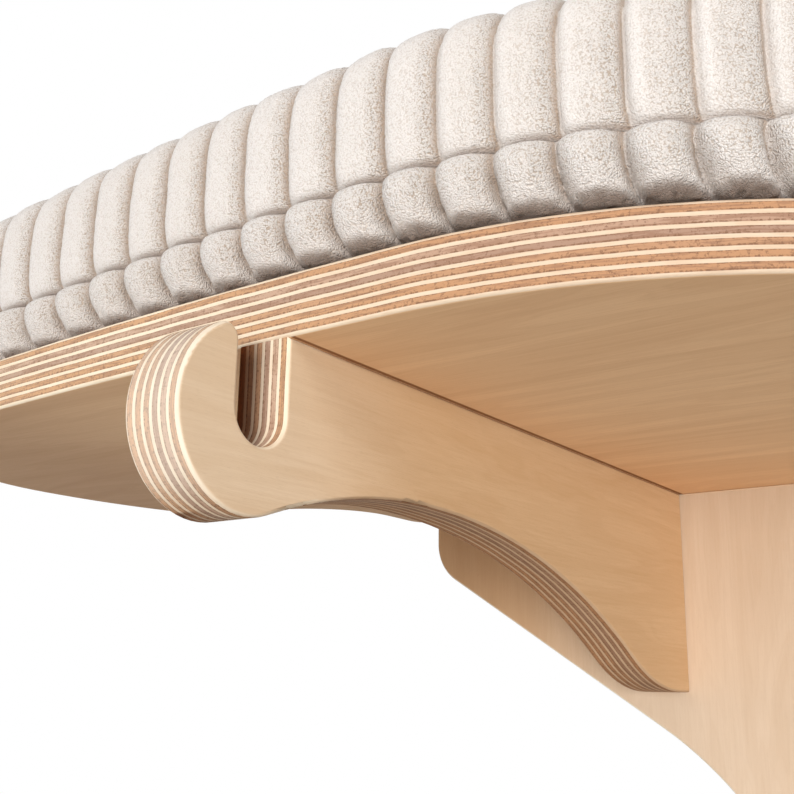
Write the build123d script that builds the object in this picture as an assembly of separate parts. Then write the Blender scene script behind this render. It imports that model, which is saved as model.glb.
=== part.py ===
"""Cat wall shelf: a plywood board on one hooked plywood bracket and a wall plate, with a ribbed cushion.

Millimetres. X runs along the wall, to the right as one faces it, and Y = 0 is the wall. -Y points into the room.
Z is up. The origin lies on the wall, in the bracket's middle plane, level with the two upper wall screws.
"""
from build123d import *
import math
import os

# Plywood
PLY = 18.0
ARRIS = 1.2

# Wall screws
SCREW_DROP = 15.0
WALL_SCREW_SPACING = 176.0
WALL_HOLE_R = 2.5
WALL_SINK_R = 4.8

# Board outline, measured from the wall and from the bracket
BOARD_DEPTH = 285.0
BOARD_LEFT = 241.0
BOARD_RIGHT = 210.0
FRONT_RADIUS = 1800.0
FRONT_APEX_X = 25.0
LEFT_CORNER_RADIUS = 105.0
LEFT_FLANK_RADIUS = 230.0
RIGHT_CORNER_RADIUS = 170.0
RIGHT_CORNER_X = 40.0
RIGHT_FLANK_RADIUS = 150.0
BACK_CORNER_RADIUS = 30.0
NECK_HALF_WIDTH = 142.0
NECK_LENGTH = 75.0
NECK_RADIUS = 43.0
WALL_CORNER_RADIUS = 14.0

# Wall plate outline, measured from the bracket and from the board's underside
PLATE_LEFT = 121.0
PLATE_RIGHT = 120.0
PLATE_TIP_DROP = 26.0
PLATE_TIP_RADIUS = 22.0
PLATE_SLOPE_DEG = 32.7
PLATE_ARCH_RADIUS = 150.0
PLATE_FOOT_X = 76.0
PLATE_FOOT_DROP = 182.0
PLATE_FOOT_RADIUS = 26.0

# Bracket outline, measured from the plate's front face and from the board's underside
HOOK_REACH = 304.5
HOOK_RADIUS = 24.5
SLOT_WIDTH = 18.2
SLOT_DEPTH = 31.0
TIP_RADIUS = 4.0
ARCH_REACH = 200.0
ARCH_DROP = 35.0
ARCH_SHARE = 0.75
FOOT_DROP = 86.0
FOOT_LENGTH = 10.0

# Wood screws and dowels
SCREW_LENGTH = 45.0
SCREW_R = 2.1
SCREW_HEAD_R = 4.5
SCREW_TIP = 5.0
SOCKET_R = 1.7
SOCKET_DEPTH = 2.2
SCREW_CLEARANCE = 0.1
DOWEL_R = 4.0
DOWEL_LENGTH = 24.0
DOWEL_CLEARANCE = 0.05
DOWEL_BEVEL = 1.0
BOARD_PLATE_SCREWS_X = (-106.0, 10.0, 106.0)
BOARD_PLATE_DOWELS_X = (-45.0, 55.0)
BOARD_BRACKET_SCREWS_REACH = (70.0, 240.0)
BOARD_BRACKET_DOWELS_REACH = (30.0, 150.0)
PLATE_BRACKET_SCREWS_DROP = (32.0, 68.0)
PLATE_BRACKET_DOWEL_DROP = 50.0

# Cushion
SOFT_GAP = 0.3
CUSHION_HEIGHT = 73.0
SEAM_HEIGHT = 17.0
SEAM_TUCK = 1.0
SEAM_THICKNESS = 1.2
SEAM_ALLOWANCE = 6.0
SIDE_BULGE = 7.5
UNDERCUT = 16.0
SHOULDER = 20.0
BACK_WALL = 16.0
BACK_GAP = 9.0
CUSHION_CORNER_RADIUS = 45.0
RIB_PITCH = 16.0
RIB_PHASE_X = 2.0
RIB_DEPTH = 3.0
COVER_THICKNESS = 9.0
BASE_THICKNESS = 6.0
END_CAP = 1.0

# Hook-and-loop patches
PATCH_LENGTH = 50.0
PATCH_WIDTH = 22.0
PATCH_THICKNESS = 1.5
PATCH_SPREAD_X = 100.0
PATCH_NEAR_Y = 70.0
PATCH_FAR_Y = 215.0

# Zip in the cushion's back
ZIP_LENGTH = 186.0
ZIP_CENTRE_X = 0.0
TAPE_WIDTH = 10.0
TAPE_GAP = 1.0
TAPE_THICKNESS = 0.8
TOOTH_PITCH = 3.0
TOOTH_WIDTH = 1.1
TOOTH_HEIGHT = 3.6
TOOTH_OVERLAP = 1.0
TOOTH_THICKNESS = 1.4
STOP_LENGTH = 2.4
SLIDER_LENGTH = 10.0
SLIDER_WALL = 1.2
SLIDER_GAP = 0.3
LUG_THICKNESS = 1.2
LUG_LENGTH = 3.4
PIN_R = 0.7
PIN_CLEARANCE = 0.06
PULL_BARREL_R = 1.35
PULL_LENGTH = 16.0
PULL_WIDTH = 4.0
PULL_THICKNESS = 1.0

# One overrun serves all cuts
OVERRUN = 5.0

# Levels and planes that the sizes above give
BOARD_BOTTOM = SCREW_DROP
BOARD_TOP = BOARD_BOTTOM + PLY
SEAM_Z = BOARD_TOP + SEAM_HEIGHT
PLATE_FRONT = -PLY
CUSHION_BOTTOM = BOARD_TOP + SOFT_GAP
CUSHION_BACK = -BACK_GAP


def arc(start, middle, end):
    return ThreePointArc(start, middle, end)


def on_circle(centre, radius, degrees):
    """The point of a circle at an angle, counted from +X."""
    a = math.radians(degrees)
    return (centre[0] + radius * math.cos(a), centre[1] + radius * math.sin(a))


def bearing(centre, point):
    """The angle, in degrees, at which a point is seen from a centre."""
    return math.degrees(math.atan2(point[1] - centre[1], point[0] - centre[0]))


def circle_arc(centre, radius, start, end, clockwise=False):
    """The arc of a circle from one point on it to another."""
    a = bearing(centre, start)
    sweep = (bearing(centre, end) - a) % 360.0
    if clockwise:
        sweep -= 360.0
    return arc(start, on_circle(centre, radius, a + sweep / 2), end)


# Seven arcs, each tangent to the next, and a straight back. The board's plan shares four of the arcs.
class Outline:
    """The cushion's plan, or the same plan drawn in by an inset."""

    def __init__(self, inset=0.0):
        front = -BOARD_DEPTH + FRONT_RADIUS
        self.front = (FRONT_APEX_X, front)
        left_x = LEFT_CORNER_RADIUS - BOARD_LEFT
        left_span = FRONT_RADIUS - LEFT_CORNER_RADIUS
        self.left = (left_x, front - math.sqrt(left_span ** 2 - (left_x - FRONT_APEX_X) ** 2))
        right_span = FRONT_RADIUS - RIGHT_CORNER_RADIUS
        right_y = front - math.sqrt(right_span ** 2 - (RIGHT_CORNER_X - FRONT_APEX_X) ** 2)
        self.right = (BOARD_RIGHT - RIGHT_CORNER_RADIUS, right_y)
        self.left_flank = (LEFT_FLANK_RADIUS - BOARD_LEFT, self.left[1])
        self.right_flank = (BOARD_RIGHT - RIGHT_FLANK_RADIUS, self.right[1])
        self.front_r = FRONT_RADIUS - inset
        self.left_r = LEFT_CORNER_RADIUS - inset
        self.left_flank_r = LEFT_FLANK_RADIUS - inset
        self.right_r = RIGHT_CORNER_RADIUS - inset
        self.right_flank_r = RIGHT_FLANK_RADIUS - inset
        self.x_min = inset - BOARD_LEFT
        self.x_max = BOARD_RIGHT - inset
        self.back = CUSHION_BACK - inset
        self.corner = CUSHION_CORNER_RADIUS
        corner_y = self.back - self.corner
        reach = self.left_flank_r - self.corner
        offset = math.sqrt(reach ** 2 - (self.left_flank[1] - corner_y) ** 2)
        self.back_left = (self.left_flank[0] - offset, corner_y)
        reach = self.right_flank_r - self.corner
        offset = math.sqrt(reach ** 2 - (self.right_flank[1] - corner_y) ** 2)
        self.back_right = (self.right_flank[0] + offset, corner_y)

    def join(self, outer, outer_r, inner):
        """The point where an outer circle touches an inner one from within."""
        return on_circle(outer, outer_r, bearing(outer, inner))

    def joints(self):
        """The points between the arcs, from the left end of the back round the front to its right end."""
        return [
            (self.back_left[0], self.back),
            self.join(self.left_flank, self.left_flank_r, self.back_left),
            (self.x_min, self.left[1]),
            self.join(self.front, self.front_r, self.left),
            self.join(self.front, self.front_r, self.right),
            (self.x_max, self.right[1]),
            self.join(self.right_flank, self.right_flank_r, self.back_right),
            (self.back_right[0], self.back),
        ]

    def face(self):
        p = self.joints()
        edges = [
            circle_arc(self.back_left, self.corner, p[0], p[1]),
            circle_arc(self.left_flank, self.left_flank_r, p[1], p[2]),
            circle_arc(self.left, self.left_r, p[2], p[3]),
            circle_arc(self.front, self.front_r, p[3], p[4]),
            circle_arc(self.right, self.right_r, p[4], p[5]),
            circle_arc(self.right_flank, self.right_flank_r, p[5], p[6]),
            circle_arc(self.back_right, self.corner, p[6], p[7]),
            Line(p[7], p[0]),
        ]
        return make_face(edges)

    def front_y(self, x):
        """Where the front of the outline lies at a place along the wall."""
        p = self.joints()
        if x < p[3][0]:
            return self.left[1] - math.sqrt(max(0.0, self.left_r ** 2 - (x - self.left[0]) ** 2))
        if x < p[4][0]:
            return self.front[1] - math.sqrt(self.front_r ** 2 - (x - self.front[0]) ** 2)
        return self.right[1] - math.sqrt(max(0.0, self.right_r ** 2 - (x - self.right[0]) ** 2))

    def back_y(self, x):
        """Where the back of the outline lies at a place along the wall."""
        p = self.joints()
        if x < p[1][0]:
            span = self.left_flank_r ** 2 - (x - self.left_flank[0]) ** 2
            return self.left_flank[1] + math.sqrt(max(0.0, span))
        if x < p[0][0]:
            return self.back_left[1] + math.sqrt(self.corner ** 2 - (x - self.back_left[0]) ** 2)
        if x < p[7][0]:
            return self.back
        if x < p[6][0]:
            return self.back_right[1] + math.sqrt(self.corner ** 2 - (x - self.back_right[0]) ** 2)
        span = self.right_flank_r ** 2 - (x - self.right_flank[0]) ** 2
        return self.right_flank[1] + math.sqrt(max(0.0, span))


def slab(face, bottom, height):
    return extrude(Pos(0, 0, bottom) * face, amount=height)


def solids_of(shape):
    return Compound(children=[s for s in shape.solids()])


# Fasteners
def wood_screw():
    """A countersunk screw, its head's face at Z = 0, pointing down."""
    head_height = SCREW_HEAD_R - SCREW_R
    shank = SCREW_LENGTH - SCREW_TIP
    body = Pos(0, 0, -shank / 2) * Cylinder(SCREW_R, shank)
    body += Pos(0, 0, -head_height / 2) * Cone(SCREW_R, SCREW_HEAD_R, head_height)
    body += Pos(0, 0, -shank - SCREW_TIP / 2) * Cone(0, SCREW_R, SCREW_TIP)
    socket = extrude(RegularPolygon(SOCKET_R, 6), amount=-SOCKET_DEPTH)
    return body - socket


def screw_hole():
    """The hole for a wood screw, open above its head."""
    radius = SCREW_R + SCREW_CLEARANCE
    head_radius = SCREW_HEAD_R + SCREW_CLEARANCE
    head_height = head_radius - radius
    depth = SCREW_LENGTH + SCREW_CLEARANCE
    hole = Pos(0, 0, -depth / 2) * Cylinder(radius, depth)
    hole += Pos(0, 0, -head_height / 2) * Cone(radius, head_radius, head_height)
    return hole + Pos(0, 0, OVERRUN / 2) * Cylinder(head_radius, OVERRUN)


def dowel():
    pin = Cylinder(DOWEL_R, DOWEL_LENGTH)
    return chamfer(pin.edges().filter_by(GeomType.CIRCLE), DOWEL_BEVEL)


def dowel_hole():
    return Cylinder(DOWEL_R + DOWEL_CLEARANCE, DOWEL_LENGTH + DOWEL_CLEARANCE)


def board_plate_screw_places():
    return [Pos(x, PLATE_FRONT / 2, BOARD_TOP) for x in BOARD_PLATE_SCREWS_X]


def board_bracket_screw_places():
    return [Pos(0, PLATE_FRONT - reach, BOARD_TOP) for reach in BOARD_BRACKET_SCREWS_REACH]


def plate_bracket_screw_places():
    return [Pos(0, 0, BOARD_BOTTOM - drop) * Rot(X=-90) for drop in PLATE_BRACKET_SCREWS_DROP]


def board_plate_dowel_places():
    return [Pos(x, PLATE_FRONT / 2, BOARD_BOTTOM) for x in BOARD_PLATE_DOWELS_X]


def board_bracket_dowel_places():
    return [Pos(0, PLATE_FRONT - reach, BOARD_BOTTOM) for reach in BOARD_BRACKET_DOWELS_REACH]


def plate_bracket_dowel_places():
    return [Pos(0, PLATE_FRONT, BOARD_BOTTOM - PLATE_BRACKET_DOWEL_DROP) * Rot(X=90)]


def bored(panel, screws, dowels):
    """A panel with the holes of the screws and dowels at the given places."""
    for place in screws:
        panel -= place * screw_hole()
    for place in dowels:
        panel -= place * dowel_hole()
    return panel


def group(places, piece):
    return Compound(children=[place * piece for place in places])


# Plywood panels
def eased(panel, axis):
    """Rounds the long arrises around both faces of a panel."""
    ends = panel.faces().sort_by(axis)
    return fillet(ends[0].edges() + ends[-1].edges(), ARRIS)


def neck_side(side, corner):
    """One hollow between a back corner and the neck: its centre and the two points where it ends."""
    hollow_x = NECK_HALF_WIDTH + NECK_RADIUS
    gap = BACK_CORNER_RADIUS + NECK_RADIUS
    hollow = (side * hollow_x, corner[1] + math.sqrt(gap ** 2 - (hollow_x - abs(corner[0])) ** 2))
    shoulder = on_circle(corner, BACK_CORNER_RADIUS, bearing(corner, hollow))
    return hollow, shoulder, (side * NECK_HALF_WIDTH, hollow[1])


def board_face():
    """The board's plan: the outline's front and left side, round back corners and a neck up to the wall."""
    plan = Outline()
    left_side, front_start, front_end = plan.joints()[2:5]
    corner_y = -NECK_LENGTH - BACK_CORNER_RADIUS
    reach = LEFT_FLANK_RADIUS - BACK_CORNER_RADIUS
    offset = math.sqrt(reach ** 2 - (corner_y - plan.left_flank[1]) ** 2)
    left_corner = (plan.left_flank[0] - offset, corner_y)
    reach = RIGHT_CORNER_RADIUS - BACK_CORNER_RADIUS
    offset = math.sqrt(reach ** 2 - (corner_y - plan.right[1]) ** 2)
    right_corner = (plan.right[0] + offset, corner_y)
    left_turn = on_circle(plan.left_flank, LEFT_FLANK_RADIUS, bearing(plan.left_flank, left_corner))
    right_turn = on_circle(plan.right, RIGHT_CORNER_RADIUS, bearing(plan.right, right_corner))
    left_hollow, left_shoulder, left_neck = neck_side(-1, left_corner)
    right_hollow, right_shoulder, right_neck = neck_side(1, right_corner)
    wall_half = NECK_HALF_WIDTH - WALL_CORNER_RADIUS
    left_wall = (-wall_half, -WALL_CORNER_RADIUS)
    right_wall = (wall_half, -WALL_CORNER_RADIUS)
    left_end = (-NECK_HALF_WIDTH, -WALL_CORNER_RADIUS)
    right_end = (NECK_HALF_WIDTH, -WALL_CORNER_RADIUS)
    return make_face([
        circle_arc(left_wall, WALL_CORNER_RADIUS, (-wall_half, 0), left_end),
        Line(left_end, left_neck),
        circle_arc(left_hollow, NECK_RADIUS, left_neck, left_shoulder, clockwise=True),
        circle_arc(left_corner, BACK_CORNER_RADIUS, left_shoulder, left_turn),
        circle_arc(plan.left_flank, LEFT_FLANK_RADIUS, left_turn, left_side),
        circle_arc(plan.left, LEFT_CORNER_RADIUS, left_side, front_start),
        circle_arc(plan.front, FRONT_RADIUS, front_start, front_end),
        circle_arc(plan.right, RIGHT_CORNER_RADIUS, front_end, right_turn),
        circle_arc(right_corner, BACK_CORNER_RADIUS, right_turn, right_shoulder),
        circle_arc(right_hollow, NECK_RADIUS, right_shoulder, right_neck, clockwise=True),
        Line(right_neck, right_end),
        circle_arc(right_wall, WALL_CORNER_RADIUS, right_end, (wall_half, 0)),
        Line((wall_half, 0), (-wall_half, 0)),
    ])


def shelf_board():
    board = eased(slab(board_face(), BOARD_BOTTOM, PLY), Axis.Z)
    screws = board_plate_screw_places() + board_bracket_screw_places()
    return bored(board, screws, board_plate_dowel_places() + board_bracket_dowel_places())


def upright(face, front):
    """A face drawn in X and Z, made a panel that reaches from a front plane back by the plywood's thickness."""
    return Pos(0, front, 0) * Rot(X=90) * extrude(face, amount=-PLY)


def plate_face():
    top = BOARD_BOTTOM
    slope = math.radians(PLATE_SLOPE_DEG)
    along = (math.cos(slope), -math.sin(slope))
    down = (-math.sin(slope), -math.cos(slope))
    left_tip = (-PLATE_LEFT, top - PLATE_TIP_DROP)
    right_tip = (PLATE_RIGHT, top - PLATE_TIP_DROP)
    foot = (PLATE_FOOT_X, top - PLATE_FOOT_DROP + PLATE_FOOT_RADIUS)

    # The arch touches the sloping flank and the foot's circle.
    shift = (left_tip[0] + PLATE_ARCH_RADIUS * down[0], left_tip[1] + PLATE_ARCH_RADIUS * down[1])
    gap = (foot[0] - shift[0], foot[1] - shift[1])
    ahead = gap[0] * along[0] + gap[1] * along[1]
    aside = gap[0] * down[0] + gap[1] * down[1]
    run = ahead - math.sqrt((PLATE_ARCH_RADIUS + PLATE_FOOT_RADIUS) ** 2 - aside ** 2)
    arch = (shift[0] + run * along[0], shift[1] + run * along[1])
    arch_start = (left_tip[0] + run * along[0], left_tip[1] + run * along[1])
    arch_end = on_circle(foot, PLATE_FOOT_RADIUS, bearing(foot, arch))

    # The right side is a straight tangent from its tip to the foot.
    distance = math.dist(foot, right_tip)
    turn = math.degrees(math.acos(PLATE_FOOT_RADIUS / distance))
    foot_end = on_circle(foot, PLATE_FOOT_RADIUS, bearing(foot, right_tip) - turn)

    edges = [
        Line((-PLATE_LEFT, top), left_tip),
        Line(left_tip, arch_start),
        circle_arc(arch, PLATE_ARCH_RADIUS, arch_start, arch_end, clockwise=True),
        circle_arc(foot, PLATE_FOOT_RADIUS, arch_end, foot_end),
        Line(foot_end, right_tip),
        Line(right_tip, (PLATE_RIGHT, top)),
        Line((PLATE_RIGHT, top), (-PLATE_LEFT, top)),
    ]
    face = make_face(edges)
    tips = [v for v in face.vertices() if abs(v.Y - left_tip[1]) < ARRIS]
    return fillet([v for v in tips if abs(v.X) > PLATE_FOOT_X], PLATE_TIP_RADIUS)


def wall_hole():
    """A countersunk hole through the plate, its sink towards the room."""
    sink = WALL_SINK_R - WALL_HOLE_R
    hole = Pos(0, 0, -PLY / 2) * Cylinder(WALL_HOLE_R, PLY + OVERRUN)
    hole += Pos(0, 0, -sink / 2) * Cone(WALL_HOLE_R, WALL_SINK_R, sink)
    hole += Pos(0, 0, OVERRUN / 2) * Cylinder(WALL_SINK_R, OVERRUN)
    return Rot(X=90) * hole


def wall_plate():
    plate = eased(upright(plate_face(), PLATE_FRONT), Axis.Y)
    lower = BOARD_BOTTOM - PLATE_FOOT_DROP + PLATE_FOOT_RADIUS
    places = [(-WALL_SCREW_SPACING / 2, 0), (WALL_SCREW_SPACING / 2, 0), (PLATE_FOOT_X, lower)]
    for x, z in places:
        plate -= Pos(x, PLATE_FRONT, z) * wall_hole()
    screws = board_plate_screw_places() + plate_bracket_screw_places()
    return bored(plate, screws, board_plate_dowel_places() + plate_bracket_dowel_places())


def bracket_face():
    """The bracket's side, drawn with its reach from the plate to the right and up as it stands."""
    hook = (HOOK_REACH - HOOK_RADIUS, -HOOK_RADIUS)

    # The front stretch of the arch touches the hook's circle.
    across = hook[0] - ARCH_REACH
    lift = ARCH_DROP - HOOK_RADIUS
    front_radius = (across ** 2 + lift ** 2 - HOOK_RADIUS ** 2) / (2 * (HOOK_RADIUS - lift))
    front_arch = (ARCH_REACH, -ARCH_DROP - front_radius)
    hook_end = on_circle(hook, HOOK_RADIUS, bearing(hook, front_arch))

    # The back stretch of the arch touches the foot's circle. The two share the radius they need together.
    crown = (ARCH_REACH, -ARCH_DROP)
    rise = FOOT_DROP - ARCH_DROP
    both = ((ARCH_REACH - FOOT_LENGTH) ** 2 + rise ** 2) / (2 * rise)
    arch_radius = both * ARCH_SHARE
    foot_radius = both - arch_radius
    back_arch = (ARCH_REACH, -ARCH_DROP - arch_radius)
    foot = (FOOT_LENGTH, -FOOT_DROP + foot_radius)
    foot_start = on_circle(foot, foot_radius, bearing(foot, back_arch))
    foot_end = (FOOT_LENGTH, -FOOT_DROP)

    # The slot stands in front of the board's edge.
    slot_back = BOARD_DEPTH - PLY
    slot_front = slot_back + SLOT_WIDTH
    slot_r = SLOT_WIDTH / 2
    slot = (slot_back + slot_r, -SLOT_DEPTH + slot_r)
    tip_z = -HOOK_RADIUS + math.sqrt(HOOK_RADIUS ** 2 - (slot_front - hook[0]) ** 2)
    tip = (slot_front, tip_z)

    edges = [
        Line((0, 0), (slot_back, 0)),
        Line((slot_back, 0), (slot_back, slot[1])),
        circle_arc(slot, slot_r, (slot_back, slot[1]), (slot_front, slot[1])),
        Line((slot_front, slot[1]), tip),
        circle_arc(hook, HOOK_RADIUS, tip, hook_end, clockwise=True),
        circle_arc(front_arch, front_radius, hook_end, crown),
        circle_arc(back_arch, arch_radius, crown, foot_start),
        circle_arc(foot, foot_radius, foot_start, foot_end, clockwise=True),
        Line(foot_end, (0, -FOOT_DROP)),
        Line((0, -FOOT_DROP), (0, 0)),
    ]
    face = make_face(edges)
    corner = face.vertices().sort_by_distance(Vertex(tip[0], tip[1], 0))[0]
    return fillet([corner], TIP_RADIUS)


def hook_bracket():
    side = extrude(bracket_face(), amount=PLY / 2, both=True)
    standing = Plane(origin=(0, PLATE_FRONT, BOARD_BOTTOM), x_dir=(0, -1, 0), z_dir=(-1, 0, 0))
    bracket = standing.location * side
    bracket = eased(bracket, Axis.X)
    screws = board_bracket_screw_places() + plate_bracket_screw_places()
    return bored(bracket, screws, board_bracket_dowel_places() + plate_bracket_dowel_places())


# Cushion
CUSHION = Outline()


def stations(outline):
    """Places along the cushion, each with its share of a rib's pinch, from the left end to the right."""
    left = outline.x_min + END_CAP
    right = outline.x_max - END_CAP
    first = math.ceil((left + RIB_PITCH / 2 - RIB_PHASE_X) / RIB_PITCH)
    last = math.floor((right - RIB_PITCH / 2 - RIB_PHASE_X) / RIB_PITCH)
    seams = [left] + [RIB_PHASE_X + k * RIB_PITCH for k in range(first, last + 1)] + [right]
    lobe_shares = (0.0, 0.18, 0.5, 0.82)
    places = []
    for start, end in zip(seams, seams[1:]):
        for share in lobe_shares:
            pinch = 1.0 - math.sqrt(math.sin(math.pi * share))
            places.append((start + share * (end - start), pinch))
    places.append((right, 1.0))
    return places


class Section:
    """The sizes of the cushion's cross section at one place, drawn in by an inset all round."""

    def __init__(self, outline, x, pinch, inset=0.0):
        self.front = outline.front_y(x)
        self.back = outline.back_y(x)
        depth = self.back - self.front
        end = min(x - outline.x_min, outline.x_max - x)
        swell = min(1.0, end / SHOULDER)
        dome = math.sqrt(swell * (2 - swell))
        self.pinch = pinch * min(RIB_DEPTH, depth / 12)
        self.top = SEAM_Z + (CUSHION_HEIGHT - SEAM_HEIGHT) * dome - inset - self.pinch
        self.rise = self.top - SEAM_Z
        self.shoulder = min(SHOULDER, depth / 4)
        self.bulge = min(SIDE_BULGE, depth / 12) - self.pinch
        self.undercut = min(UNDERCUT, depth / 4)
        tucked = min(1.0, end / UNDERCUT)
        self.drop = (SEAM_Z - CUSHION_BOTTOM) * math.sqrt(tucked * (2 - tucked))
        self.tuck = min(SEAM_TUCK, depth / 12)
        self.back_wall = min(BACK_WALL, self.rise / 3)


def section_face(x, edges):
    """A closed section from edges drawn in Y and Z, stood up across the cushion at one place."""
    across = Plane(origin=(x, 0, 0), x_dir=(0, 1, 0), z_dir=(1, 0, 0))
    return across.location * make_face(edges)


def top_section(outline, x, pinch, inset, seam_z):
    s = Section(outline, x, pinch, inset)
    side_share = 0.85
    bulge_share = 0.4
    seam_front = (s.front + s.tuck, seam_z)
    bulge = (s.front - s.bulge, seam_z + bulge_share * s.rise)
    shoulder_front = (s.front + s.shoulder, seam_z + side_share * s.rise)
    crown = ((s.front + s.back) / 2, s.top)
    shoulder_back = (s.back - s.shoulder, seam_z + side_share * s.rise)
    wall_top = (s.back, seam_z + s.back_wall)
    turn = math.sqrt(0.5)
    round_back = (
        s.back - s.shoulder + s.shoulder * turn,
        wall_top[1] + (shoulder_back[1] - wall_top[1]) * turn,
    )
    return section_face(x, [
        arc(seam_front, bulge, shoulder_front),
        arc(shoulder_front, crown, shoulder_back),
        arc(shoulder_back, round_back, wall_top),
        Line(wall_top, (s.back, seam_z)),
        Line((s.back, seam_z), seam_front),
    ])


def bottom_section(outline, x, pinch, seam_z):
    """Under the seam the side turns in on an arc that lies flat where it meets the base."""
    s = Section(outline, x, pinch)
    base = SEAM_Z - s.drop
    height = seam_z - base
    inward = s.undercut - s.tuck
    radius = (inward ** 2 + height ** 2) / (2 * height)
    centre = (s.front + s.undercut, base + radius)
    seam_front = (s.front + s.tuck, seam_z)
    foot = (centre[0], base)
    bearings = bearing(centre, foot) % 360.0 + bearing(centre, seam_front) % 360.0
    flattened = s.pinch * s.drop / (SEAM_Z - CUSHION_BOTTOM)
    middle = on_circle(centre, radius - flattened, bearings / 2)
    return section_face(x, [
        Line(seam_front, (s.back, seam_z)),
        Line((s.back, seam_z), (s.back, base)),
        Line((s.back, base), foot),
        arc(foot, middle, seam_front),
    ])


def cushion_core():
    """The foam inside the cover: the plan drawn in by the cover, its top edge rounded."""
    inner = Outline(COVER_THICKNESS)
    bottom = CUSHION_BOTTOM + BASE_THICKNESS
    side_height = BACK_WALL + SEAM_Z - bottom
    top = BOARD_TOP + CUSHION_HEIGHT - COVER_THICKNESS - RIB_DEPTH
    shoulder = Outline(COVER_THICKNESS + SHOULDER)
    lower = slab(inner.face(), bottom, side_height)
    upper = loft([
        Pos(0, 0, bottom + side_height) * inner.face(),
        Pos(0, 0, top) * shoulder.face(),
    ], ruled=True)
    return lower + upper


def seam_ring():
    outer = Outline(SEAM_TUCK)
    inner = Outline(SEAM_TUCK + SEAM_ALLOWANCE)
    bottom = SEAM_Z - SEAM_THICKNESS / 2
    return slab(outer.face(), bottom, SEAM_THICKNESS) - slab(inner.face(), bottom, SEAM_THICKNESS)


def patch_places(bottom):
    """The four places of the hook-and-loop patches, at one level."""
    level = bottom + PATCH_THICKNESS / 2
    return [
        Pos(side * PATCH_SPREAD_X, -y, level)
        for side in (-1, 1)
        for y in (PATCH_NEAR_Y, PATCH_FAR_Y)
    ]


def patch():
    return Box(PATCH_LENGTH, PATCH_WIDTH, PATCH_THICKNESS)


def patch_pocket():
    return Box(PATCH_LENGTH + 2 * SOFT_GAP, PATCH_WIDTH + 2 * SOFT_GAP, PATCH_THICKNESS + 2 * SOFT_GAP)


HOOK_PATCH_Z = BOARD_TOP
LOOP_PATCH_Z = HOOK_PATCH_Z + PATCH_THICKNESS + SOFT_GAP


def cushion_top_panel(core):
    seam_z = SEAM_Z + SEAM_THICKNESS / 2
    sections = [top_section(CUSHION, x, pinch, 0.0, seam_z) for x, pinch in stations(CUSHION)]
    return loft(sections, ruled=True) - core


def cushion_bottom_panel(core):
    seam_z = SEAM_Z - SEAM_THICKNESS / 2
    sections = [bottom_section(CUSHION, x, pinch, seam_z) for x, pinch in stations(CUSHION)]
    panel = loft(sections, ruled=True) - core
    for place in patch_places(HOOK_PATCH_Z):
        panel -= place * patch_pocket()
    for place in patch_places(LOOP_PATCH_Z):
        panel -= place * patch()
    return panel


# Zip
ZIP_START = ZIP_CENTRE_X - ZIP_LENGTH / 2
TAPE_OUT = CUSHION_BACK + TAPE_THICKNESS
TOOTH_OUT = TAPE_OUT + TOOTH_THICKNESS
SLIDER_FACE = TOOTH_OUT + SLIDER_GAP + SLIDER_WALL
PIN_Y = SLIDER_FACE + PULL_BARREL_R + SLIDER_GAP


def block(x0, x1, y0, y1, z0, z1):
    """A box between two corners."""
    centre = Pos((x0 + x1) / 2, (y0 + y1) / 2, (z0 + z1) / 2)
    return centre * Box(x1 - x0, y1 - y0, z1 - z0)


def zip_tapes():
    half = TAPE_GAP / 2
    end = ZIP_START + ZIP_LENGTH
    upper = block(ZIP_START, end, CUSHION_BACK, TAPE_OUT, SEAM_Z + half, SEAM_Z + half + TAPE_WIDTH)
    lower = block(ZIP_START, end, CUSHION_BACK, TAPE_OUT, SEAM_Z - half - TAPE_WIDTH, SEAM_Z - half)
    return Compound(children=[upper, lower])


def zip_teeth():
    first = ZIP_START + 2 * STOP_LENGTH
    count = int((ZIP_LENGTH - 4 * STOP_LENGTH) / TOOTH_PITCH)
    teeth = []
    for k in range(2 * count):
        x = first + k * TOOTH_PITCH / 2
        if k % 2:
            z0 = SEAM_Z - TOOTH_OVERLAP
        else:
            z0 = SEAM_Z + TOOTH_OVERLAP - TOOTH_HEIGHT
        teeth.append(block(x, x + TOOTH_WIDTH, TAPE_OUT, TOOTH_OUT, z0, z0 + TOOTH_HEIGHT))
    return Compound(children=teeth)


def zip_end_stops():
    half = TOOTH_HEIGHT - TOOTH_OVERLAP
    left = ZIP_START + STOP_LENGTH / 2
    right = ZIP_START + ZIP_LENGTH - STOP_LENGTH / 2 - STOP_LENGTH
    stops = [
        block(x, x + STOP_LENGTH, TAPE_OUT, TOOTH_OUT + SLIDER_GAP, SEAM_Z - half, SEAM_Z + half)
        for x in (left, right)
    ]
    return Compound(children=stops)


def slider_start():
    """The slider's left end, clear of the left stop."""
    return ZIP_START + STOP_LENGTH / 2 + STOP_LENGTH + SLIDER_GAP


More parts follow.
